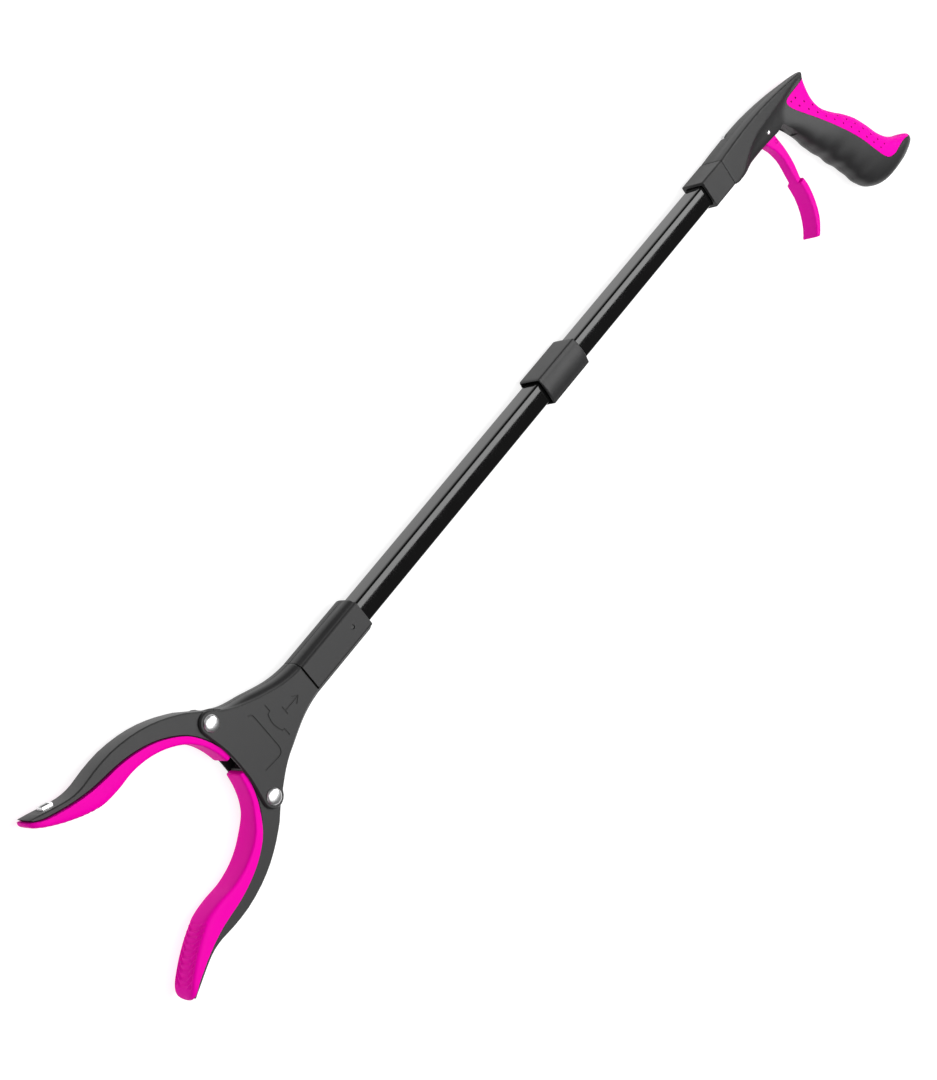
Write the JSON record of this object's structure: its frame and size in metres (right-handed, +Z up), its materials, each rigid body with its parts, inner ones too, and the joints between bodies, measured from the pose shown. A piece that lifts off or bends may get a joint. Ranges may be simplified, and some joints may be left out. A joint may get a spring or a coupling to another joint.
{
  "type": "reacher grabber",
  "caption": "Folding reacher grabber: a trigger handle on a square tube that folds at a sleeved hinge, with a swivelling head and two curved rubber-lined jaws.",
  "frame": {"origin": "bottom centre of the whole object as it lies on its side, jaws open, tube straight", "axes": "+X along the tube towards the handle, +Y away from the trigger, +Z up from the surface it lies on"},
  "size_m": [0.8142, 0.172, 0.024],
  "materials": {
    "black_plastic": "fine satin moulded grain",
    "tube_finish": "gloss black square tube",
    "pink_rubber": "soft satin rubber with moulded ribs and dimples",
    "pink_plastic": "smooth moulded trigger",
    "steel": "plain bright steel",
    "chrome": "polished"
  },
  "bodies": {
    "handle": {"rear_tube": "tube_finish", "fold_rear_block": "black_plastic", "fold_rear_block_cross_pin": "steel", "fold_hinge_pin": "steel", "handle_collar": "black_plastic", "handle_front_shell": "black_plastic", "handle_rear_shell": "black_plastic", "palm_cover": "pink_rubber", "trigger_pin": "chrome", "handle_screw_1": "steel", "handle_screw_2": "steel", "handle_screw_3": "steel", "handle_screw_4": "steel"},
    "sleeve": {"sliding_sleeve": "black_plastic"},
    "front_section": {"front_tube": "tube_finish", "fold_front_block": "black_plastic", "fold_front_block_cross_pin": "steel", "neck_collar": "black_plastic", "neck_lock_pin": "steel"},
    "head": {"head_front_shell": "black_plastic", "head_rear_shell": "black_plastic", "upper_jaw_rivet": "chrome", "lower_jaw_rivet": "chrome", "return_spring": "steel"},
    "crosshead": {"crosshead": "black_plastic", "upper_crosshead_pin": "steel", "lower_crosshead_pin": "steel", "front_cable_ferrule": "steel", "front_cable": "steel"},
    "upper_jaw": {"upper_jaw_frame": "black_plastic", "upper_jaw_pad": "pink_rubber", "tip_magnet": "chrome"},
    "lower_jaw": {"lower_jaw_frame": "black_plastic", "lower_jaw_pad": "pink_rubber"},
    "trigger": {"trigger": "pink_plastic", "trigger_post": "steel"},
    "pull_bar": {"pull_bar": "steel", "rear_cable_ferrule": "steel", "rear_cable": "steel"}
  },
  "joints": [
    {"name": "trigger_squeeze", "type": "hinge", "parent": "handle", "child": "trigger", "pos_m": [0.2829, 0.012, 0.012], "axis": [0, 0, 1], "range_deg": [0, 30], "stiffness_Nm_per_rad": 0.35, "springref_deg": -11.46},
    {"name": "pull_bar_slide", "type": "slide", "parent": "handle", "child": "pull_bar", "axis": [1, 0, 0], "range_m": [0, 0.0044]},
    {"name": "tube_fold", "type": "hinge", "parent": "handle", "child": "front_section", "pos_m": [0.0129, 0.0241, 0.012], "axis": [0, 0, -1], "range_deg": [0, 165]},
    {"name": "sleeve_slide", "type": "slide", "parent": "handle", "child": "sleeve", "axis": [1, 0, 0], "range_m": [0, 0.0331]},
    {"name": "head_swivel", "type": "hinge", "parent": "front_section", "child": "head", "pos_m": [-0.2371, 0.0178, 0.012], "axis": [1, 0, 0], "range_deg": [0, 90]},
    {"name": "crosshead_slide", "type": "slide", "parent": "head", "child": "crosshead", "axis": [1, 0, 0], "range_m": [0, 0.0044], "deforming": ["return_spring"]},
    {"name": "upper_jaw_close", "type": "hinge", "parent": "head", "child": "upper_jaw", "pos_m": [-0.2986, 0.0458, 0.012], "axis": [0, 0, 1], "range_deg": [0, 31.51]},
    {"name": "lower_jaw_close", "type": "hinge", "parent": "head", "child": "lower_jaw", "pos_m": [-0.2986, -0.0102, 0.012], "axis": [0, 0, -1], "range_deg": [0, 31.51]}
  ],
  "couplings": [
    {"joint": "pull_bar_slide", "follows": "trigger_squeeze", "m_per_rad": 0.0083306},
    {"joint": "crosshead_slide", "follows": "trigger_squeeze", "m_per_rad": 0.0083306},
    {"joint": "upper_jaw_close", "follows": "trigger_squeeze", "ratio": 1.05},
    {"joint": "lower_jaw_close", "follows": "trigger_squeeze", "ratio": 1.05},
    {"joint": "sleeve_slide", "follows": "tube_fold", "m_per_rad": 0.011459}
  ]
}
